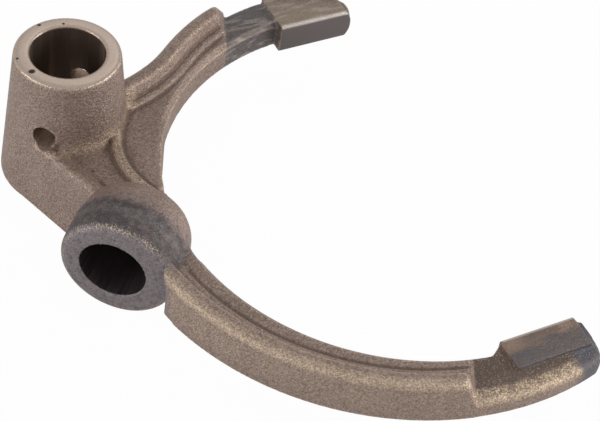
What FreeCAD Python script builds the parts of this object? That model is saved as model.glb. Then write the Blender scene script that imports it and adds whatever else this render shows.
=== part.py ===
import FreeCAD, Part
import math
import os

V = FreeCAD.Vector

# A gearbox clutch fork, one forging with machined bores and pads.
# Millimetres. The origin is on the rail bore's axis, level with the middle of the pads' thickness.
# +X runs along the fork's own line of symmetry, towards the open end, and +Z up the rail bore.
# Far lies towards +Y and near towards -Y.

# Rail hub
railBore = 20.0
hubTopRadius = 14.3
hubBottomRadius = 18.3
hubTop = 26.0
hubBottom = -16.3
hubTopChamfer = 0.6
hubBottomChamfer = 1.3
hubFoot = 3.0                 # concave rounding where the hub meets the web
railBoreChamfer = 0.5

# Ring: its centre from the rail, its inner face and its near outer face
ringX = 77.9
ringY = -51.1
innerRadius = 66.0
outerRadius = 78.7
outerShift = -2.7             # the outer circle's centre, along X from the ring's centre

# Section of the stiff part of the ring, measured inwards from the parting line
armBottom = -4.0
webTop = 4.3
ribTop = 8.9
ribWidth = 5.0
ribOuterDraft = 9.0           # degrees
ribInnerDraft = 22.0
ribRounding = 1.8
ribInnerRounding = 1.2
grooveHeight = 4.8
grooveRounding = 0.8
ridgeInset = 8.4
ridgeHeight = 5.7
ridgeHalfWidth = 1.4
ridgeChamfer = 0.7
bottomLead = 0.3
bottomChamfer = 0.7
innerChamfer = 1.3
nearWebSpan = 15.5             # inwards from the outer face
farWebSpan = 11.0
nearSweep = 80.0              # degrees the near side turns through, from the ring's back

# The far rib leaves its arc and runs out to the hub
farCentreX = 1.2
farCentreY = 9.3
farRadius = 71.4
farStraight = 4.9
farFlare = 42.0               # radius of the reverse bend into the hub
farFlareSweep = 40.0          # degrees
farStart = 100.0              # degrees from the opening
farLeave = 128.0

# Plan of the web plate between the far rib, the hub and the boss, from the ring's centre.
# The ring's inner face trims it.
webOutline = [(-18.0, 60.0), (-30.0, 65.0), (-46.0, 56.0), (-57.0, 51.0),
              (-78.0, 51.0), (-80.0, 4.0), (-60.0, 0.0), (-30.0, 50.0)]

# Where the rib stops on each arm: its foot on the outer face, and the slant of its end
nearEndX = -19.8
nearEndY = -73.0
nearEndSlant = 25.0
farEndX = -20.6
farEndY = 73.0
farEndSlant = 21.0
ribEndLean = 28.0             # degrees from upright
ribEndRounding = 1.5
milledStep = 0.3              # the milled arm ends lie this much below the web

# Thin arm ends
thinTopOuter = 2.6            # the top falls away to this height at the outer edge
farThinRadius = 69.3          # about the far arc's centre
thinOuterRounding = 1.8
thinDraft = 0.4               # how far the outer face leans in
thinFall = 7.0                # width of the falling band
thinSpan = 18.0
nearThinStart = -107.0        # degrees, and the sweep towards the opening
nearThinSweep = 40.0
farThinStart = 69.0
farThinSweep = 51.0

# Pads
padGap = 125.0                # between the two working faces
padThickness = 9.6
padWidth = 9.6
padStart = -6.5               # along X from the ring's centre
tipX = 17.0
tipRounding = 2.0
tipCorner = 4.0
padChamfer = 0.8
padLead = 4.0                 # length of the near pad's lower root
nearTipSlope = 9.0            # degrees, outer side of the near arm's end
nearTipY = 77.0
farTaper = 17.6               # degrees, outer side of the far arm's end
farTipY = 69.4

# Lever boss
bossBore = 18.0
bossBoreDepth = 17.0
drillPoint = 118.0
bossRadius = 15.6
bossOffset = 0.8              # the barrel stands this far to the near side of its bore
bossFlare = 15.9
bossFaceRounding = 1.8
bossShoulder = 12.0
bossBackRadius = 13.4
bossDomeEnd = 21.5
bossDomeRounding = 6.0
bossX = -86.4                 # centre of its face, from the ring's centre
bossY = -3.3
bossAngle = 46.3              # direction of the bore inwards, degrees from +X
spotFace = 16.4               # radius the boss face is milled back to

# Root block between the hub and the boss
blockTop = 6.0
blockDraft = 5.4
blockBottomChamfer = 1.1
blockRounding = 1.5
blockCrest = 2.4              # flat width of the crest along its outer face
blockStart = (-94.9, 45.1)    # bottom edge of its outer face, tangent to the hub
blockHeading = -70.1          # degrees from +X, towards the boss
blockRun = 38.0
blockWidth = 36.0
troughFloor = 4.0
troughRounding = 2.0
sideRidgeX = -45.2            # centre of the low ridge's bend, from the ring's centre
sideRidgeY = 27.0
sideRidgeBend = 26.0
sideRidgeHalfWidth = 2.4       # at its foot
sideRidgeCrest = 0.8          # half the width of its top
sideRidgeStart = -34.0        # degrees
sideRidgeSweep = 74.0
troughBank = 55.0             # degrees from upright

# Cross pin hole in the hub, parallel to the boss bore
pinHole = 6.2
pinHeight = 8.4

# Reach of cutters past the part, and how far joined pieces run into each other
beyond = 40.0
overlap = 1.0
sliver = 0.2


# Small tools

def onPlane(x, z):
    return V(x, 0, z)


def roundedWire(corners, place):
    """Closed wire through corners (a, b, size): size rounds a corner, or chamfers it when negative."""
    count = len(corners)
    starts, mids, ends = [], [], []
    for i in range(count):
        a, b, size = corners[i]
        here = V(a, b, 0)
        before = V(corners[i - 1][0], corners[i - 1][1], 0) - here
        after = V(corners[(i + 1) % count][0], corners[(i + 1) % count][1], 0) - here
        before.normalize()
        after.normalize()
        half = before.getAngle(after) / 2
        reach = size / math.tan(half) if size > 0 else -size
        starts.append(here + before * reach)
        ends.append(here + after * reach)
        if size > 0:
            bisector = (before + after).normalize()
            mids.append(here + bisector * (size / math.sin(half) - size))
        else:
            mids.append(None)
    edges = []
    for i in range(count):
        stops = [place(p.x, p.y) for p in (starts[i], ends[i], starts[(i + 1) % count])]
        if mids[i] is not None:
            edges.append(Part.Arc(stops[0], place(mids[i].x, mids[i].y), stops[1]).toShape())
        elif (stops[1] - stops[0]).Length > 1e-6:
            edges.append(Part.makeLine(stops[0], stops[1]))
        if (stops[2] - stops[1]).Length > 1e-6:
            edges.append(Part.makeLine(stops[1], stops[2]))
    return Part.Wire(edges)


def turned(corners):
    """Solid of revolution about Z of a closed (radius, height) profile."""
    return Part.Face(roundedWire(corners, onPlane)).revolve(V(0, 0, 0), V(0, 0, 1), 360)


def prism(corners, bottom, top):
    """Upright prism over a plan outline of (x, y, radius) corners."""
    face = Part.Face(roundedWire(corners, lambda x, y: V(x, y, bottom)))
    return face.extrude(V(0, 0, top - bottom))


def onBossAxis(shape):
    """Carry a shape turned about Z on to the boss axis, heights running inwards."""
    shape.rotate(V(0, 0, 0), V(0, 1, 0), 90)
    shape.rotate(V(0, 0, 0), V(0, 0, 1), bossAngle)
    shape.translate(V(bossX, bossY, 0))
    return shape


# Ring

def ribSection(webSpan):
    """Corners (inset, height, radius) of the stiff section, out to a web of the given span."""
    outer = ribTop * math.tan(math.radians(ribOuterDraft))
    fall = (ribTop - grooveHeight) * math.tan(math.radians(ribInnerDraft))
    return [
        (webSpan, armBottom, 0),
        (bottomLead, armBottom, -bottomChamfer),
        (0, 0, 0),
        (outer, ribTop, ribRounding),
        (outer + ribWidth - fall / 2, ribTop, ribInnerRounding),
        (outer + ribWidth + fall / 2, grooveHeight, grooveRounding),
        (ridgeInset, ridgeHeight, -ridgeChamfer),
        (ridgeInset + ridgeHalfWidth, webTop, 0),
        (webSpan, webTop, 0),
    ]


def nearRing():
    place = lambda inset, z: V(outerShift - outerRadius + inset, 0, z)
    face = Part.Face(roundedWire(ribSection(nearWebSpan), place))
    return face.revolve(V(outerShift, 0, 0), V(0, 0, 1), nearSweep)


def farRing():
    """Far side of the ring: an arc, a short straight and the reverse bend into the hub."""
    centre = V(farCentreX, farCentreY, 0)
    up = V(0, 0, 1)
    leave = math.radians(farLeave)
    outwards = V(math.cos(leave), math.sin(leave), 0)
    along = V(-math.sin(leave), math.cos(leave), 0)
    place = lambda inset, z: centre + outwards * (farRadius - inset) + V(0, 0, z)
    face = Part.Face(roundedWire(ribSection(farWebSpan), place))
    arc = face.revolve(centre, up, farStart - farLeave)
    straight = face.extrude(along * farStraight)
    bendFace = face.translated(along * farStraight)
    bendCentre = centre + outwards * (farRadius + farFlare) + along * farStraight
    bend = bendFace.revolve(bendCentre, up, -farFlareSweep)
    return arc.fuse([straight, bend])


def web():
    return prism([(x, y, 0) for x, y in webOutline], armBottom, webTop)


def innerCutter():
    """Everything inside the ring's inner face."""
    return Part.makeCylinder(innerRadius, 2 * beyond, V(0, 0, -beyond))


def easedInnerCutter():
    """The same, with the upper edge of the web taken off."""
    shelf = innerRadius + innerChamfer + sliver
    return turned([
        (0, -beyond, 0), (innerRadius, -beyond, 0), (innerRadius, webTop, -innerChamfer),
        (shelf, webTop, 0), (shelf, beyond, 0), (0, beyond, 0),
    ])


def ribEndCutter(x, y, slant):
    """Everything past one rib's slanted end, which is upright below the web and leans above it."""
    upright = Part.makeBox(2 * beyond, 2 * beyond, 2 * beyond, V(0, -beyond, -beyond))
    leaning = upright.copy()
    leaning.rotate(V(0, 0, 0), V(0, 1, 0), -ribEndLean)
    cutter = upright.fuse(leaning)
    cutter.rotate(V(0, 0, 0), V(0, 0, 1), -slant)
    cutter.translate(V(x, y, webTop))
    return cutter


def ribEnded(ring, x, y, slant):
    """One side of the ring cut off at its rib's end, with the crest's end rounded over."""
    cut = ring.cut(ribEndCutter(x, y, slant))
    crest = [e for e in cut.Edges
             if e.BoundBox.ZMin > ribTop - ribRounding and abs(e.CenterOfMass.x - x) < ribTop
             and e.BoundBox.XLength + e.BoundBox.YLength < 2 * ribWidth]
    return cut.makeFillet(ribEndRounding, crest)


def stiffRing():
    near = ribEnded(nearRing(), nearEndX, nearEndY, nearEndSlant)
    far = ribEnded(farRing(), farEndX, farEndY, farEndSlant)
    plate = web().cut(ribEndCutter(farEndX, farEndY, farEndSlant))
    return near.fuse([far, plate]).cut(easedInnerCutter())


# Thin arm ends and pads

def thinArm(centre, outer, start, sweep):
    """Milled arm end, its section turned about the given centre from a start angle."""
    corners = [
        (outer - thinSpan, armBottom, 0),
        (outer - bottomLead, armBottom, -bottomChamfer),
        (outer, 0, 0),
        (outer - thinDraft, thinTopOuter, thinOuterRounding),
        (outer - thinFall, webTop - milledStep, 0),
        (outer - thinSpan, webTop - milledStep, 0),
    ]
    face = Part.Face(roundedWire(corners, lambda r, z: centre + V(r, 0, z)))
    face.rotate(centre, V(0, 0, 1), start)
    return face.revolve(centre, V(0, 0, 1), sweep).cut(easedInnerCutter())


def tipOutline(side, slope, cornerY):
    """Upright block that trims an arm's end to its tip, with the outer corner rounded in plan."""
    length = 1.5 * beyond
    rise = length * math.tan(math.radians(slope))
    corners = [(tipX - length, 0, 0), (tipX, 0, 0), (tipX, side * cornerY, tipCorner),
               (tipX - length, side * (cornerY + rise), 0)]
    return prism(corners, -padThickness, padThickness)


def padBlank(reach):
    """Pad on the far side, from its working face out to the given reach, with its bulged tip."""
    half = padThickness / 2
    back = tipX - tipRounding
    face = padGap / 2
    arc = Part.Arc(V(back, face, -half), V(tipX, face, 0), V(back, face, half)).toShape()
    wire = Part.Wire([
        Part.makeLine(V(padStart, face, half), V(padStart, face, -half)),
        Part.makeLine(V(padStart, face, -half), V(back, face, -half)),
        arc,
        Part.makeLine(V(back, face, half), V(padStart, face, half)),
    ])
    blank = Part.Face(wire).extrude(V(0, reach, 0))
    rims = [e for e in blank.Edges
            if e.CenterOfMass.y < face + sliver and abs(e.CenterOfMass.z) > half - sliver]
    return blank.makeChamfer(padChamfer, rims)


def nearEnd():
    half = padGap / 2
    back = innerRadius + 2 * overlap
    pad = padBlank(padWidth).mirror(V(0, 0, 0), V(0, 1, 0))
    lead = prism([
        (padStart + overlap, -half, 0), (padStart + overlap, -back, 0), (padStart - padLead, -back, 0),
        (padStart - padLead, -innerRadius + sliver, 0),
    ], armBottom, webTop - milledStep)
    outline = tipOutline(-1, nearTipSlope, nearTipY)
    arm = thinArm(V(outerShift, 0, 0), outerRadius, nearThinStart, nearThinSweep).common(outline)
    return arm.fuse([pad.common(outline), lead])


def farEnd():
    centre = V(farCentreX, farCentreY, 0)
    outer = Part.makeCylinder(farThinRadius, 2 * beyond, centre - V(0, 0, beyond))
    outline = tipOutline(1, farTaper, farTipY)
    pad = padBlank(2 * padWidth).common(outer).common(outline)
    arm = thinArm(centre, farThinRadius, farThinStart, farThinSweep).common(outline)
    return arm.fuse(pad)


# Hub, boss and block

def hubRadius(z):
    return hubTopRadius + (hubBottomRadius - hubTopRadius) * (hubTop - z) / (hubTop - hubBottom)


def hub():
    cone = turned([
        (0, hubBottom, 0), (hubBottomRadius, hubBottom, -hubBottomChamfer),
        (hubTopRadius, hubTop, -hubTopChamfer), (0, hubTop, 0),
    ])
    cone.translate(V(-ringX, -ringY, 0))
    return cone


def hubFootRing():
    wall = hubRadius(webTop)
    rim = wall + 1.2 * hubFoot
    bottom = webTop - 2 * overlap
    top = webTop + 2 * hubFoot
    ring = turned([
        (railBore / 2, bottom, 0), (rim, bottom, 0), (rim, webTop, 0), (wall, webTop, hubFoot),
        (hubRadius(top), top, 0), (railBore / 2, top, 0),
    ])
    ring.translate(V(-ringX, -ringY, 0))
    return ring


def boss():
    barrel = turned([
        (0, 0, 0), (bossRadius, 0, bossFaceRounding), (bossFlare, bossShoulder, 0),
        (bossBackRadius, bossDomeEnd, bossDomeRounding), (0, bossDomeEnd, 0),
    ])
    barrel.translate(V(0, -bossOffset, 0))
    return onBossAxis(barrel)


def block():
    """Root block, its section run along its outer face from the hub to the boss."""
    heading = math.radians(blockHeading)
    along = V(math.cos(heading), math.sin(heading), 0)
    across = V(-along.y, along.x, 0)
    start = V(*blockStart, 0)
    inset = (blockTop - hubBottom) * math.tan(math.radians(blockDraft))
    crest = inset + blockCrest
    bank = (blockTop - troughFloor) * math.tan(math.radians(troughBank))
    corners = [
        (0, hubBottom, -blockBottomChamfer), (inset, blockTop, blockRounding),
        (crest, blockTop, blockRounding), (crest + bank, troughFloor, troughRounding),
        (blockWidth, troughFloor, 0), (blockWidth, hubBottom, 0),
    ]
    place = lambda a, z: start + across * a + V(0, 0, z)
    return Part.Face(roundedWire(corners, place)).extrude(along * blockRun)


def sideRidge():
    """Low ridge from the hub round to the boss, between the trough and the web."""
    centre = V(sideRidgeX, sideRidgeY, 0)
    base = webTop - overlap
    place = lambda r, z: centre + V(-sideRidgeBend + r, 0, z)
    face = Part.Face(roundedWire([
        (-sideRidgeHalfWidth, base, 0), (-sideRidgeCrest, ridgeHeight, 0),
        (sideRidgeCrest, ridgeHeight, 0), (sideRidgeHalfWidth, base, 0),
    ], place))
    face.rotate(centre, V(0, 0, 1), sideRidgeStart)
    return face.revolve(centre, V(0, 0, 1), sideRidgeSweep)


def bores():
    hubAt = V(-ringX, -ringY, 0)
    rail = Part.makeCylinder(railBore / 2, 2 * beyond, hubAt - V(0, 0, beyond))
    mouth = hubAt + V(0, 0, hubTop - railBoreChamfer)
    topChamfer = Part.makeCone(railBore / 2, railBore / 2 + 2 * overlap, 2 * overlap, mouth)
    bottomChamfer = topChamfer.mirror(V(0, 0, (hubTop + hubBottom) / 2), V(0, 0, 1))
    point = bossBore / 2 / math.tan(math.radians(drillPoint / 2))
    lever = onBossAxis(turned([
        (0, -beyond, 0), (spotFace, -beyond, 0), (spotFace, 0, 0), (bossBore / 2, 0, 0),
        (bossBore / 2, bossBoreDepth, 0), (0, bossBoreDepth + point, 0),
    ]))
    turn = math.radians(bossAngle)
    along = V(math.cos(turn), math.sin(turn), 0)
    start = hubAt + V(0, 0, pinHeight) - along * beyond
    pin = Part.makeCylinder(pinHole / 2, 2 * beyond, start, along)
    return [rail, topChamfer, bottomChamfer, lever, pin]


def fork():
    column = block().fuse(web())
    parts = [nearEnd(), farEnd(), block().cut(innerCutter()), hub(), boss()]
    parts += [hubFootRing().common(column), sideRidge().cut(innerCutter())]
    body = stiffRing().fuse(parts).cut(bores())
    body.translate(V(ringX, ringY, 0))
    return body.removeSplitter().Solids[0]


if __name__ == "__main__":
    shape = fork()
    print(shape.isValid(), shape.ShapeType, shape.Volume, shape.BoundBox)
    os.makedirs("parts", exist_ok=True)
    shape.exportStep("parts/fork.step")
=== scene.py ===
import bpy
import bmesh
import numpy as np
from math import radians, cos, sin
from types import SimpleNamespace
from mathutils import Euler, Matrix, Vector


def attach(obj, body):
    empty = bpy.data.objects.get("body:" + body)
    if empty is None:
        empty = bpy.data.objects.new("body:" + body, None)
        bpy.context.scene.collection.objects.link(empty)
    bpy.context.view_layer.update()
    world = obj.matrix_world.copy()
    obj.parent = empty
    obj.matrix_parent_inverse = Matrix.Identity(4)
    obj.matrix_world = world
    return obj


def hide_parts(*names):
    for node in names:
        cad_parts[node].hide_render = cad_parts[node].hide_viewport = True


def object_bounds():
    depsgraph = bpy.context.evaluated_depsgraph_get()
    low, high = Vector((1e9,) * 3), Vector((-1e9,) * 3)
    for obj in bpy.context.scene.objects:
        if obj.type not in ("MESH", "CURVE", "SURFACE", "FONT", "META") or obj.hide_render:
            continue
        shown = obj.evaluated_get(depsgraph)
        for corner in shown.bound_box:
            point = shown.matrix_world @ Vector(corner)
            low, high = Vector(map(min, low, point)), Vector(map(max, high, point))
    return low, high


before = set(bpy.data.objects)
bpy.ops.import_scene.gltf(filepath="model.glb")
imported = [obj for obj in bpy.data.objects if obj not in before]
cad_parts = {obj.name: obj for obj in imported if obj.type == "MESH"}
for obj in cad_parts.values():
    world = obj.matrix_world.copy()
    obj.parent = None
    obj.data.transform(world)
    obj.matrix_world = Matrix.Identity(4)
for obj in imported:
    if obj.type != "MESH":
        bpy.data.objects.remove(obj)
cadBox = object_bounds()
mm = 0.001

# places on the fork, in millimetres, as the part's own drawing has them
fork = {
    "railRadius": 10.0, "hubTop": 26.0, "middle": -51.1,
    "outerCentre": (75.2, -51.1), "outerRadius": 78.7, "farCentre": (79.1, -41.8), "farRadius": 71.4,
    "bossFace": (-8.5, -54.4, 0.0), "bossAngle": 46.3, "bossOffset": 0.8,
    "leverRadius": 9.0, "leverDepth": 17.0, "pinRadius": 3.1, "pinHeight": 8.4,
    "padGap": 125.0, "padStart": 71.4, "padLength": 23.5, "padDepth": 9.6,
    "farEnd": (57.3, 21.9), "farSlant": 21.0, "nearEnd": (58.1, -124.1), "nearSlant": 25.0,
}
up = Vector((0, 0, 1))
bossAlong = Vector((cos(radians(fork["bossAngle"])), sin(radians(fork["bossAngle"])), 0))
bossAcross = Vector((bossAlong.y, -bossAlong.x, 0))
bossFace = Vector(fork["bossFace"])
halfGap = fork["padGap"] / 2


def link(obj):
    bpy.context.scene.collection.objects.link(obj)
    return obj


def applied(obj):
    deps = bpy.context.evaluated_depsgraph_get()
    mesh = bpy.data.meshes.new_from_object(obj.evaluated_get(deps))
    obj.modifiers.clear()
    old = obj.data
    obj.data = mesh
    bpy.data.meshes.remove(old)
    return obj


# the skin: the solid remeshed finely, its corners softened as a forging's are
skin = {
    "weld": 0.002, "voxel": 0.42, "force": 0.5, "triangles": 178000, "proudRounds": 14, "proudScale": 0.16,
    "sharpAngle": 38,
    "rounds": {"all": 1, "ribEdge": 9, "ribEnd": 5, "foot": 60, "bossRoot": 30, "bossRim": 26,
               "blockCrest": 8, "hubRim": 7, "armEdge": 8},
}

# how far each machined surface keeps the smoothing off, and where each softened zone lies, in millimetres
machined = {"hubFace": 1.2, "railWall": 1.0, "bossFace": 0.4, "leverWall": 0.8, "leverEnd": 24,
            "padLead": 4.5, "pinWall": 1.6}
ribEdge = {"bottom": 5.0, "inset": (-0.5, 3.6), "pastHub": 24, "pastBoss": 17}
ribEnd = {"reach": 6, "bottom": 5}
hubFoot = {"across": (13.5, 25), "height": (0.5, 11), "side": -3, "pastBoss": 17}
bossRoot = {"depth": (4.5, 27), "radius": (13.8, 21)}
bossRim = {"depth": 5.0, "radius": (12.6, 19)}
blockCrest = {"end": -1, "side": -6, "height": (2, 9), "pastHub": 17, "pastBoss": 17}
hubRim = {"depth": 2.2, "pastBore": 13.0}
armEdge = {"lead": 13, "top": 3.2, "inset": (-0.5, 3.0)}


def between(value, span):
    return span[0] < value < span[1]


def onBoss(p):
    rel = p - bossFace
    depth = rel.dot(bossAlong)
    return depth, (rel - bossAlong * depth).length


def onBarrel(p):
    return onBoss(p - bossAcross * fork["bossOffset"])


def fromPinAxis(p):
    rel = p - up * fork["pinHeight"]
    return (rel - bossAlong * rel.dot(bossAlong)).length


def inset(p):
    # distance in from the outer face of the near or the far side
    if p.y < fork["middle"]:
        return fork["outerRadius"] - (p.xy - Vector(fork["outerCentre"])).length
    return fork["farRadius"] - (p.xy - Vector(fork["farCentre"])).length


def isCast(p):
    depth, radius = onBoss(p)
    onHub = p.z > fork["hubTop"] - machined["hubFace"]
    inRail = p.xy.length < fork["railRadius"] + machined["railWall"]
    inLever = radius < fork["leverRadius"] + machined["leverWall"] and depth < machined["leverEnd"]
    inPad = p.x > fork["padStart"] - machined["padLead"]
    inPin = fromPinAxis(p) < fork["pinRadius"] + machined["pinWall"]
    return not (onHub or inRail or depth < machined["bossFace"] or inLever or inPad or inPin)


def atRibEdge(p):
    return (isCast(p) and p.z > ribEdge["bottom"] and between(inset(p), ribEdge["inset"])
            and p.xy.length > ribEdge["pastHub"] and onBoss(p)[1] > ribEdge["pastBoss"])


def atRibEnd(p):
    near = (p.xy - Vector(fork["nearEnd"])).length
    far = (p.xy - Vector(fork["farEnd"])).length
    return min(near, far) < ribEnd["reach"] and p.z > ribEnd["bottom"]


def atHubFoot(p):
    return (isCast(p) and between(p.xy.length, hubFoot["across"]) and between(p.z, hubFoot["height"])
            and p.y < hubFoot["side"] and onBoss(p)[1] > hubFoot["pastBoss"])


def atBossRoot(p):
    depth, radius = onBoss(p)
    return isCast(p) and between(depth, bossRoot["depth"]) and between(radius, bossRoot["radius"])


def atBossRim(p):
    depth, radius = onBarrel(p)
    return depth < bossRim["depth"] and between(radius, bossRim["radius"])


def atBlockCrest(p):
    return (isCast(p) and p.x < blockCrest["end"] and p.y < blockCrest["side"]
            and between(p.z, blockCrest["height"]) and p.xy.length > blockCrest["pastHub"]
            and onBoss(p)[1] > blockCrest["pastBoss"])


def atHubRim(p):
    return p.z > fork["hubTop"] - hubRim["depth"] and p.xy.length > hubRim["pastBore"]


def atArmEdge(p):
    return (p.x > fork["padStart"] - armEdge["lead"] and p.z < armEdge["top"]
            and between(inset(p), armEdge["inset"]))


# in the order in which they are softened
softZones = {"all": isCast, "ribEdge": atRibEdge, "ribEnd": atRibEnd, "foot": atHubFoot,
             "bossRoot": atBossRoot, "bossRim": atBossRim, "blockCrest": atBlockCrest, "hubRim": atHubRim,
             "armEdge": atArmEdge}


def weldedCopy(source):
    mesh = source.data.copy()
    bm = bmesh.new()
    bm.from_mesh(mesh)
    bmesh.ops.remove_doubles(bm, verts=bm.verts, dist=skin["weld"] * mm)
    bm.to_mesh(mesh)
    bm.free()
    return link(bpy.data.objects.new("forging", mesh))


def soften(mesh):
    bm = bmesh.new()
    bm.from_mesh(mesh)
    for name, inside in softZones.items():
        chosen = [v for v in bm.verts if inside(v.co / mm)]
        for _ in range(skin["rounds"][name]):
            bmesh.ops.smooth_vert(bm, verts=chosen, factor=skin["force"],
                                  use_axis_x=True, use_axis_y=True, use_axis_z=True)
    bm.to_mesh(mesh)
    bm.free()


def markProudness(mesh):
    # how far a surface stands proud, above 0.5 on edges and below it in recesses; the finish takes painted
    # shade in the recesses, painted glints and smoother roughness on the edges from it
    count = len(mesh.vertices)
    places = np.empty(count * 3)
    mesh.vertices.foreach_get("co", places)
    places = places.reshape(-1, 3) / mm
    normals = np.empty(count * 3)
    mesh.vertex_normals.foreach_get("vector", normals)
    ends = np.empty(len(mesh.edges) * 2, dtype=int)
    mesh.edges.foreach_get("vertices", ends)
    first, second = ends.reshape(-1, 2).T
    links = np.bincount(first, minlength=count) + np.bincount(second, minlength=count)
    eased = places.copy()
    for _ in range(skin["proudRounds"]):
        total = np.zeros_like(eased)
        for axis in range(3):
            total[:, axis] = (np.bincount(first, eased[second, axis], count)
                              + np.bincount(second, eased[first, axis], count))
        eased = 0.5 * eased + 0.5 * total / links[:, None]
    proud = ((places - eased) * normals.reshape(-1, 3)).sum(axis=1)
    proudness = mesh.attributes.new("proudness", "FLOAT", "POINT")
    proudness.data.foreach_set("value", np.clip(0.5 + proud / skin["proudScale"] / 2, 0, 1))
    print("proudness", np.percentile(proud, [1, 5, 50, 95, 99]).round(3))


def softForging():
    obj = weldedCopy(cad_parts["fork"])
    remesh = obj.modifiers.new("fine", "REMESH")
    remesh.mode = "VOXEL"
    remesh.voxel_size = skin["voxel"] * mm
    remesh.use_smooth_shade = True
    applied(obj)
    soften(obj.data)
    markProudness(obj.data)
    thin = obj.modifiers.new("thin", "DECIMATE")
    thin.ratio = skin["triangles"] / (2 * len(obj.data.polygons))
    applied(obj)
    print("forging", len(obj.data.polygons), "faces")
    return obj


# the cutters are a little wider than the part's bores, so that the cut walls replace the remeshed ones
cuts = {
    "segments": 96, "wider": 0.03, "pinWider": 0.02, "railStart": -30, "railLength": 70,
    "mouthInset": 1.0, "mouthFlare": 1.6, "mouthDrop": 1.5, "mouthHeight": 2.6,
    "leverLead": 3.0, "pinStart": -30, "pinLength": 60,
}


def cutter(name, radiusStart, radiusEnd, start, along, length):
    bm = bmesh.new()
    turn = up.rotation_difference(along).to_matrix().to_4x4()
    place = Matrix.Translation((start + along * length / 2) * mm) @ turn
    bmesh.ops.create_cone(bm, cap_ends=True, segments=cuts["segments"], radius1=radiusStart * mm,
                          radius2=radiusEnd * mm, depth=length * mm, matrix=place)
    bmesh.ops.recalc_face_normals(bm, faces=bm.faces)
    mesh = bpy.data.meshes.new(name)
    bm.to_mesh(mesh)
    bm.free()
    return link(bpy.data.objects.new(name, mesh))


def machine(obj):
    rail = fork["railRadius"] + cuts["wider"]
    lever = fork["leverRadius"] + cuts["wider"]
    pin = fork["pinRadius"] + cuts["pinWider"]
    mouthStart = up * (fork["hubTop"] - cuts["mouthDrop"])
    leverStart = bossFace - bossAlong * cuts["leverLead"]
    pinStart = bossAlong * cuts["pinStart"] + up * fork["pinHeight"]
    cutters = [
        cutter("railCut", rail, rail, up * cuts["railStart"], up, cuts["railLength"]),
        cutter("railMouth", rail - cuts["mouthInset"], rail + cuts["mouthFlare"], mouthStart, up,
               cuts["mouthHeight"]),
        cutter("leverCut", lever, lever, leverStart, bossAlong,
               fork["leverDepth"] + cuts["leverLead"] + cuts["wider"]),
        cutter("pinCut", pin, pin, pinStart, bossAlong, cuts["pinLength"]),
    ]
    for tool in cutters:
        cut = obj.modifiers.new(tool.name, "BOOLEAN")
        cut.operation = "DIFFERENCE"
        cut.solver = "EXACT"
        cut.object = tool
    applied(obj)
    for tool in cutters:
        bpy.data.objects.remove(tool)
    print("machined", len(obj.data.polygons), "faces")
    return obj


def buildTree(name):
    material = bpy.data.materials.new(name)
    material.use_nodes = True
    tree = material.node_tree
    tree.nodes.clear()
    return material, tree


class Wires:
    def __init__(self, tree):
        self.tree = tree

    def node(self, kind, **settings):
        made = self.tree.nodes.new(kind)
        for key, value in settings.items():
            setattr(made, key, value)
        return made

    def feed(self, socket, value):
        if isinstance(value, bpy.types.NodeSocket):
            self.tree.links.new(value, socket)
        else:
            socket.default_value = value

    def maths(self, operation, a, b=0.0):
        made = self.node("ShaderNodeMath", operation=operation)
        self.feed(made.inputs[0], a)
        self.feed(made.inputs[1], b)
        return made.outputs[0]

    def plus(self, a, b):
        return self.maths("ADD", a, b)

    def minus(self, a, b):
        return self.maths("SUBTRACT", a, b)

    def times(self, a, b):
        return self.maths("MULTIPLY", a, b)

    def over(self, a, b):
        return self.maths("DIVIDE", a, b)

    def larger(self, a, b):
        return self.maths("MAXIMUM", a, b)

    def apart(self, a, b):
        return self.maths("ABSOLUTE", self.minus(a, b))

    def vector(self, operation, a, b=(0, 0, 0), scale=1.0):
        made = self.node("ShaderNodeVectorMath", operation=operation)
        self.feed(made.inputs[0], a)
        self.feed(made.inputs[1], b)
        if operation == "SCALE":
            self.feed(made.inputs[3], scale)
        return made.outputs[1] if operation in ("DOT_PRODUCT", "LENGTH", "DISTANCE") else made.outputs[0]

    def step(self, value, low, high):
        # 0 at low and 1 at high, whichever of them is the larger
        made = self.node("ShaderNodeMapRange", interpolation_type="SMOOTHSTEP")
        self.feed(made.inputs[0], value)
        made.inputs[1].default_value = low
        made.inputs[2].default_value = high
        return made.outputs[0]

    def fade(self, value, low, high):
        return self.minus(1.0, self.step(value, low, high))

    def band(self, value, centre, width):
        return self.fade(self.apart(value, centre), width * 0.3, width)

    def mix(self, amount, a, b):
        made = self.node("ShaderNodeMix", data_type="RGBA", blend_type="MIX")
        self.feed(made.inputs[0], amount)
        self.feed(made.inputs[6], a)
        self.feed(made.inputs[7], b)
        return made.outputs[2]

    def noise(self, place, scale, detail=2.0, rough=0.5):
        made = self.node("ShaderNodeTexNoise")
        self.feed(made.inputs["Vector"], place)
        made.inputs["Scale"].default_value = scale
        made.inputs["Detail"].default_value = detail
        made.inputs["Roughness"].default_value = rough
        return made.outputs[0]

    def fromLine(self, rel, along):
        # distance along a line, and distance out from it
        depth = self.vector("DOT_PRODUCT", rel, along)
        foot = self.vector("SCALE", along, scale=depth)
        return depth, self.vector("LENGTH", self.vector("SUBTRACT", rel, foot))


def colour(red, green, blue):
    channels = []
    for value in (red, green, blue):
        value /= 255
        channels.append(value / 12.92 if value <= 0.04045 else ((value + 0.055) / 1.055) ** 2.4)
    return (*channels, 1.0)


def shifted(start, span):
    return start + span[0], start + span[1]


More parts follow.
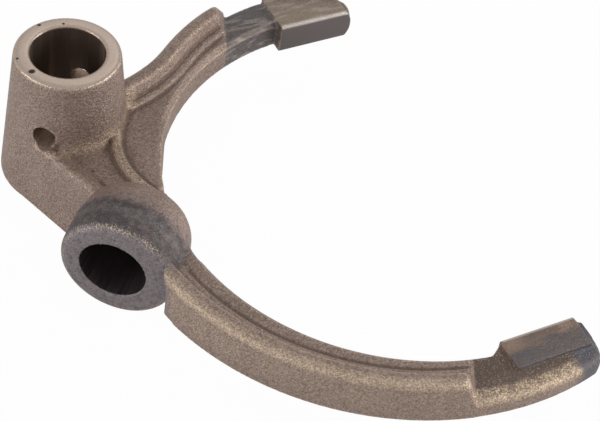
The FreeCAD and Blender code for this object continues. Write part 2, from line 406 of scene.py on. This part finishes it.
tones = {
    "skin": colour(172, 152, 142), "skinDark": colour(96, 78, 66), "skinLight": colour(236, 212, 182),
    "bossFace": colour(152, 144, 147), "bossDark": colour(80, 76, 76), "bossMid": colour(132, 127, 127),
    "bossBrown": colour(160, 142, 136), "ringFace": colour(208, 188, 174), "pit": colour(70, 52, 46),
    "bore": colour(136, 118, 108), "leverBore": colour(98, 88, 90), "pinBoreLit": colour(166, 144, 128),
    "milledBlue": colour(116, 114, 117), "milledBrown": colour(142, 130, 121),
    "padFace": colour(114, 106, 104), "padEdge": colour(214, 204, 196), "padBlue": colour(104, 103, 110),
    "padBrown": colour(146, 126, 116), "padTan": colour(206, 170, 146), "ledge": colour(98, 85, 79),
}
# scale per millimetre, detail and roughness of each noise
noises = {"coarse": (1.2, 2.0, 0.6), "grain": (2.2, 3.0, 0.7), "speck": (2.9, 1.0, 0.6),
          "blotch": (0.12, 3.0, 0.6), "mottle": (0.55, 3.0, 0.6), "waver": (0.4, 3.0, 0.5)}
ringPits = [(105, 12.8, 0.8), (75, 11.2, 0.5), (200, 12.3, 1.1), (172, 13.4, 0.6)]  # degrees, radius, size

# where each finish starts and is full, in millimetres
# where the painted highlights on the near rib and on the hub's foot lie
highlightAt = {"arc": (-62.0, -50.0), "flank": (2.4, 0.8), "flankHeight": (-4.0, 4.0), "crest": (4.4, 3.0),
            "crestHeight": (6.6, 7.6)}
footAt = {"across": 17.6, "height": 6.6, "width": 2.6, "side": (6.0, 12.0)}
tintAt = {"end": (11.0, 15.5), "side": (16.2, 19.0), "rim": (0.2, 1.6), "ring": 7.0, "ringWidth": 2.2,
          "brown": (9.0, 12.0), "glintPastBore": (1.0, 2.5)}
armAt = {"farSide": (-40.0, -30.0), "farLine": (-0.2, 0.3), "nearLine": (-0.2, 0.6), "padLead": (-1.5, 1.0),
         "ledge": (2.2, 3.4), "tip": (85.5, 89.0), "edgeDepth": (4.6, 3.0), "edgeHeight": (0.2, 1.8),
         "padTop": (4.0, 4.4)}
faceAt = {"hubFace": (-0.75, -0.25), "rail": (0.1, 0.3), "lever": (0.1, 0.25), "leverMouth": (0.1, 0.3),
          "leverEnd": (25.0, 26.0), "pin": (0.1, 0.22), "working": (0.15, 0.35), "workingLead": (-0.3, 0.1),
          "bevel": 0.6, "bevelWidth": 0.75, "bevelHeight": (3.7, 4.0), "bevelLead": (0.0, 0.4)}
metal = {"rough": 0.46, "roughGrain": 0.12, "roughMilled": -0.16, "roughWorn": 0.08, "metallic": 0.85,
         "bumpDepth": 0.0007, "bump": 0.9, "bumpMilled": 0.82}


def surface(w):
    # the place, the noises and the wear that all the finishes share
    s = SimpleNamespace()
    s.p = w.vector("SCALE", w.node("ShaderNodeTexCoord").outputs["Object"], scale=1000.0)
    split = w.node("ShaderNodeSeparateXYZ")
    w.feed(split.inputs[0], s.p)
    s.x, s.y, s.z = split.outputs
    for name, (scale, detail, rough) in noises.items():
        setattr(s, name, w.noise(s.p, scale, detail, rough))
    s.wander = w.times(w.minus(s.waver, 0.5), 2.4)
    s.streak = w.noise(w.vector("MULTIPLY", s.p, (0.18, 1.0, 1.0)), 0.6, 3.0)
    # how far the surface stands proud: painted shade in the hollows, painted glints on the edges
    proudness = w.node("ShaderNodeAttribute", attribute_name="proudness").outputs["Fac"]
    s.hollow = w.step(proudness, 0.47, 0.2)
    s.edge = w.step(proudness, 0.6, 1.0)
    s.grit = w.step(w.plus(s.grain, w.times(s.coarse, 0.5)), 0.84, 0.58)
    s.glint = w.step(w.plus(s.speck, w.times(s.edge, 0.09)), 0.58, 0.7)
    s.grains = w.plus(0.25, w.times(w.step(s.grain, 0.46, 0.6), 0.6))
    level = w.vector("MULTIPLY", s.p, (1, 1, 0))
    s.across = w.vector("LENGTH", level)
    s.inward = w.minus(fork["outerRadius"], w.vector("DISTANCE", level, (*fork["outerCentre"], 0)))
    s.depth, s.radial = w.fromLine(w.vector("SUBTRACT", s.p, tuple(bossFace)), tuple(bossAlong))
    return s


def forgedSkin(w, s):
    # dark grit and blotches at random and lighter grains; painted shade in the hollows and painted glints,
    # strongest on proud edges
    base = w.mix(w.times(w.step(s.blotch, 0.35, 0.68), 0.12), tones["skin"], tones["skinDark"])
    base = w.mix(w.times(s.grit, 0.56), base, tones["skinDark"])
    base = w.mix(w.times(w.step(s.grain, 0.52, 0.68), 0.3), base, tones["skinLight"])
    # painted shade: darker in the hollows
    base = w.mix(w.times(s.hollow, 0.65), base, tones["skinDark"])
    # painted glints on the grains, strongest on proud edges
    shine = w.times(s.glint, w.plus(0.1, w.times(s.edge, 0.75)))
    return w.mix(shine, base, tones["skinLight"])


def paintedHighlights(w, s, base):
    # painted highlights on the near rib's flank and crest, and on the rounding where the hub stands up
    flank = w.times(w.step(s.inward, *highlightAt["flank"]), w.step(s.z, *highlightAt["flankHeight"]))
    crest = w.times(w.step(s.inward, *highlightAt["crest"]), w.step(s.z, *highlightAt["crestHeight"]))
    rib = w.times(w.larger(w.times(flank, 0.28), crest), w.fade(s.y, *highlightAt["arc"]))
    foot = w.times(w.band(s.across, footAt["across"], footAt["width"]),
                   w.band(s.z, footAt["height"], footAt["width"]))
    foot = w.times(foot, w.step(w.minus(s.x, s.y), *footAt["side"]))
    highlight = w.times(w.larger(rib, foot), w.times(s.grains, 0.62))
    return w.mix(highlight, base, tones["skinLight"])


def tintedBoss(w, s, base):
    # heat tint, by distance in from the boss's face
    uneven = w.plus(s.depth, s.wander)
    tinted = w.times(w.fade(uneven, *tintAt["end"]), w.fade(w.plus(s.radial, s.wander), *tintAt["side"]))
    rim = w.times(w.step(w.plus(s.depth, w.times(s.wander, 0.3)), *tintAt["rim"]), 0.75)
    tone = w.mix(rim, tones["bossFace"], tones["bossDark"])
    ring = w.band(w.plus(uneven, s.wander), tintAt["ring"], tintAt["ringWidth"])
    tone = w.mix(w.times(ring, 0.55), tone, tones["bossMid"])
    tone = w.mix(w.step(uneven, *tintAt["brown"]), tone, tones["bossBrown"])
    tone = w.mix(w.times(w.step(s.mottle, 0.5, 0.66), 0.35), tone, tones["bossBrown"])
    tone = w.mix(w.times(w.step(s.mottle, 0.5, 0.36), 0.35), tone, tones["bossDark"])
    tone = w.mix(w.times(s.grit, 0.4), tone, tones["pit"])
    # painted glints on the boss's proud edges, kept off the mouth of the lever bore
    glintEdges = w.times(s.edge, w.step(s.radial, *shifted(fork["leverRadius"], tintAt["glintPastBore"])))
    tone = w.mix(w.times(s.glint, w.plus(0.08, glintEdges)), tone, tones["skinLight"])
    return w.mix(tinted, base, tone)


def pastEnd(w, s, end, slant):
    # distance past the slanted line where a rib ends
    ahead = Vector((cos(radians(slant)), -sin(radians(slant)), 0))
    return w.minus(w.vector("DOT_PRODUCT", s.p, tuple(ahead)), Vector((*end, 0)).dot(ahead))


def farArm(w, s, base):
    past = w.step(pastEnd(w, s, fork["farEnd"], fork["farSlant"]), *armAt["farLine"])
    padReach = w.step(s.x, *shifted(fork["padStart"], armAt["padLead"]))
    tone = w.mix(w.times(padReach, w.step(s.blotch, 0.3, 0.5)), tones["milledBlue"], tones["milledBrown"])
    tone = w.mix(w.times(w.step(s.coarse, 0.4, 0.6), 0.3), tone, tones["padBrown"])
    tone = w.mix(w.times(w.step(s.streak, 0.5, 0.64), 0.35), tone, tones["padEdge"])
    tone = w.mix(w.times(s.grit, 0.5), tone, tones["skinDark"])
    # painted highlight on the proud edges
    tone = w.mix(w.times(s.edge, 0.2), tone, tones["skinLight"])
    return w.mix(w.times(past, w.step(s.y, *armAt["farSide"])), base, tone)


def nearPadTop(w, s):
    across = w.over(w.minus(fork["middle"] - halfGap, s.y), fork["padDepth"])
    along = w.over(w.minus(s.x, fork["padStart"]), fork["padLength"])
    blue = w.step(w.plus(across, w.times(w.minus(s.streak, 0.5), 0.8)), 0.36, 0.56)
    tone = w.mix(blue, tones["padBrown"], tones["padBlue"])
    root = w.times(w.fade(along, 0.12, 0.3), w.fade(across, 0.3, 0.6))
    tip = w.times(w.band(along, 0.78, 0.2), w.step(s.streak, 0.5, 0.6))
    tip = w.times(tip, w.fade(across, 0.3, 0.5))
    tone = w.mix(w.times(w.larger(root, tip), 0.7), tone, tones["padTan"])
    tone = w.mix(w.times(s.edge, 0.5), tone, tones["milledBrown"])
    return w.mix(w.times(s.grit, 0.3), tone, tones["skinDark"])


def nearArm(w, s, base):
    past = w.step(pastEnd(w, s, fork["nearEnd"], fork["nearSlant"]), *armAt["nearLine"])
    here = w.times(past, w.fade(s.y, *armAt["farSide"]))
    onLedge = w.times(w.step(s.z, *armAt["ledge"]), here)
    tone = w.mix(w.times(onLedge, 0.85), base, tones["ledge"])
    # painted glints
    tone = w.mix(w.times(s.glint, 0.35), tone, tones["skinLight"])
    tip = w.times(w.step(w.plus(s.x, w.times(s.wander, 1.5)), *armAt["tip"]), 0.85)
    # painted highlight along the outer rounding of the near arm's end, patchy by grains
    highlight = w.times(w.step(s.inward, *armAt["edgeDepth"]), w.step(s.z, *armAt["edgeHeight"]))
    patchy = w.times(s.grains, w.plus(0.5, w.times(w.step(s.mottle, 0.42, 0.58), 0.7)))
    patchy = w.times(patchy, w.minus(0.88, tip))
    tone = w.mix(w.times(highlight, patchy), tone, tones["skinLight"])
    tone = w.mix(tip, tone, tones["padBlue"])
    padReach = w.step(s.x, *shifted(fork["padStart"], armAt["padLead"]))
    tone = w.mix(w.times(padReach, w.step(s.z, *armAt["padTop"])), tone, nearPadTop(w, s))
    return w.mix(here, base, tone)


def pittedRing(w, s):
    tone = tones["ringFace"]
    for angle, radius, size in ringPits:
        spot = (radius * cos(radians(angle)), radius * sin(radians(angle)), fork["hubTop"])
        away = w.plus(w.vector("DISTANCE", s.p, spot), w.times(s.wander, 0.4))
        tone = w.mix(w.fade(away, size * 0.5, size), tone, tones["pit"])
    return w.mix(w.times(w.step(s.grain, 0.52, 0.4), 0.16), tone, tones["skinDark"])


def machinedFaces(w, s, base):
    # also how much of a smooth machined surface each place is
    hubFace = w.step(s.z, *shifted(fork["hubTop"], faceAt["hubFace"]))
    base = w.mix(hubFace, base, pittedRing(w, s))

    rail = w.fade(s.across, *shifted(fork["railRadius"], faceAt["rail"]))
    # painted highlight streaks down the rail bore's wall
    railHighlightStreaks = w.noise(w.vector("MULTIPLY", s.p, (1.0, 1.0, 0.03)), 0.2, 1.0)
    railTone = w.mix(w.times(w.step(railHighlightStreaks, 0.42, 0.62), 0.6), tones["bore"], tones["skinLight"])
    base = w.mix(rail, base, railTone)

    pinPlace = w.vector("SUBTRACT", s.p, (0, 0, fork["pinHeight"]))
    fromPin = w.fromLine(pinPlace, tuple(bossAlong))[1]
    # the pin bore's wall is coloured light: painted light inside the bore
    base = w.mix(w.fade(fromPin, *shifted(fork["pinRadius"], faceAt["pin"])), base, tones["pinBoreLit"])

    lever = w.times(w.fade(s.radial, *shifted(fork["leverRadius"], faceAt["lever"])),
                    w.fade(s.depth, *faceAt["leverEnd"]))
    lever = w.times(lever, w.step(s.depth, *faceAt["leverMouth"]))
    base = w.mix(lever, base, tones["leverBore"])

    fromMiddle = w.apart(s.y, fork["middle"])
    working = w.times(w.fade(fromMiddle, *shifted(halfGap, faceAt["working"])),
                      w.step(s.x, *shifted(fork["padStart"], faceAt["workingLead"])))
    base = w.mix(working, base, tones["padFace"])
    # painted highlight along the chamfer at the top of the working face
    bevel = w.times(w.band(fromMiddle, halfGap + faceAt["bevel"], faceAt["bevelWidth"]),
                    w.step(s.z, *faceAt["bevelHeight"]))
    bevel = w.times(bevel, w.step(s.x, *shifted(fork["padStart"], faceAt["bevelLead"])))
    base = w.mix(w.times(bevel, 0.8), base, tones["padEdge"])
    return base, w.larger(w.larger(hubFace, rail), w.larger(lever, working))


def forgedFinish():
    # one finish that changes with the place: forged skin, tinted boss and arm ends, machined faces
    material, tree = buildTree("forgedSteel")
    w = Wires(tree)
    s = surface(w)
    base = paintedHighlights(w, s, forgedSkin(w, s))
    base = tintedBoss(w, s, base)
    base = farArm(w, s, base)
    base = nearArm(w, s, base)
    base, smooth = machinedFaces(w, s, base)

    rough = w.plus(w.times(smooth, metal["roughMilled"]),
                   w.plus(metal["rough"], w.times(s.grain, metal["roughGrain"])))
    rough = w.minus(rough, w.times(s.edge, metal["roughWorn"]))
    height = w.plus(w.times(s.coarse, 0.35), w.plus(w.times(s.grain, 0.4), w.times(s.speck, 0.25)))
    bump = w.node("ShaderNodeBump")
    bump.inputs["Distance"].default_value = metal["bumpDepth"]
    w.feed(bump.inputs["Height"], height)
    w.feed(bump.inputs["Strength"], w.minus(metal["bump"], w.times(smooth, metal["bumpMilled"])))
    shader = w.node("ShaderNodeBsdfPrincipled")
    w.feed(shader.inputs["Base Color"], base)
    w.feed(shader.inputs["Roughness"], rough)
    shader.inputs["Metallic"].default_value = metal["metallic"]
    w.feed(shader.inputs["Normal"], bump.outputs[0])
    out = w.node("ShaderNodeOutputMaterial")
    w.feed(out.inputs[0], shader.outputs[0])
    return material


body = machine(softForging())
body.data.materials.clear()
body.data.materials.append(forgedFinish())
for polygon in body.data.polygons:
    polygon.use_smooth = True
body.data.set_sharp_from_angle(angle=radians(skin["sharpAngle"]))
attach(body, "root")
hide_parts("fork")

# floor, light and camera, in metres, watts and degrees
studio = {"floor": 3.0, "floorDrop": 0.0004, "floorTone": (0.9, 0.9, 0.9, 1), "worldTone": (1, 1, 1, 1),
          "worldLevel": 0.54, "floorSeen": 0.97, "floorMirrored": 0.15, "middle": (0.04, -0.05, 0)}
lamps = {
    "left": {"place": (-0.85, 0.05, 0.35), "size": 0.5, "power": 2.7},
    "right": {"place": (0.88, -0.42, 0.28), "size": 0.5, "power": 4.0},
    "behind": {"place": (0.45, 0.55, 0.75), "size": 0.6, "power": 0.4},
}
shot = {"place": (-0.12071, -0.30938, 0.32081), "heading": 57.0, "dip": 46.321, "roll": 9.21, "lens": 99.5,
        "sensor": 36}


def buildFloor():
    bm = bmesh.new()
    low = cadBox[0][2] - studio["floorDrop"]
    bmesh.ops.create_grid(bm, x_segments=1, y_segments=1, size=studio["floor"],
                          matrix=Matrix.Translation((0, 0, low)))
    mesh = bpy.data.meshes.new("floor")
    bm.to_mesh(mesh)
    bm.free()
    floor = link(bpy.data.objects.new("floor", mesh))
    material, tree = buildTree("paleFloor")
    w = Wires(tree)
    matt = w.node("ShaderNodeBsdfDiffuse")
    matt.inputs[0].default_value = studio["floorTone"]
    glow = w.node("ShaderNodeEmission")
    rays = w.node("ShaderNodeLightPath")
    blend = w.node("ShaderNodeMixShader")
    seen = w.times(rays.outputs["Is Camera Ray"], studio["floorSeen"])
    mirrored = w.times(rays.outputs["Is Glossy Ray"], studio["floorMirrored"])
    w.feed(blend.inputs[0], w.larger(seen, mirrored))
    w.feed(blend.inputs[1], matt.outputs[0])
    w.feed(blend.inputs[2], glow.outputs[0])
    out = w.node("ShaderNodeOutputMaterial")
    w.feed(out.inputs[0], blend.outputs[0])
    mesh.materials.append(material)


def buildWorld():
    # white where the camera sees it, and dimmer as a light
    world = bpy.data.worlds.new("studio")
    bpy.context.scene.world = world
    world.use_nodes = True
    tree = world.node_tree
    tree.nodes.clear()
    w = Wires(tree)
    rays = w.node("ShaderNodeLightPath")
    sky = w.node("ShaderNodeBackground")
    sky.inputs[0].default_value = studio["worldTone"]
    seen = w.times(rays.outputs["Is Camera Ray"], 1 - studio["worldLevel"])
    w.feed(sky.inputs[1], w.plus(studio["worldLevel"], seen))
    out = w.node("ShaderNodeOutputWorld")
    w.feed(out.inputs[0], sky.outputs[0])


def buildLamp(name, place, size, power):
    data = bpy.data.lights.new(name, "AREA")
    data.shape = "DISK"
    data.size = size
    data.energy = power
    made = link(bpy.data.objects.new(name, data))
    made.location = place
    made.rotation_euler = (Vector(studio["middle"]) - Vector(place)).to_track_quat("-Z", "Y").to_euler()


def buildCamera():
    # heading is turned from +X, dip is below the level and roll is about the line of sight
    data = bpy.data.cameras.new("camera")
    camera = link(bpy.data.objects.new("camera", data))
    data.sensor_width = shot["sensor"]
    data.lens = shot["lens"]
    aim = Euler((radians(90 - shot["dip"]), 0, radians(shot["heading"] - 90))).to_matrix()
    turn = aim @ Matrix.Rotation(radians(shot["roll"]), 3, "Z")
    camera.matrix_world = Matrix.Translation(shot["place"]) @ turn.to_4x4()
    bpy.context.scene.camera = camera


buildFloor()
buildWorld()
for name, lamp in lamps.items():
    buildLamp(name, **lamp)
buildCamera()
bpy.context.scene.view_settings.view_transform = "Standard"

print("scene ready")
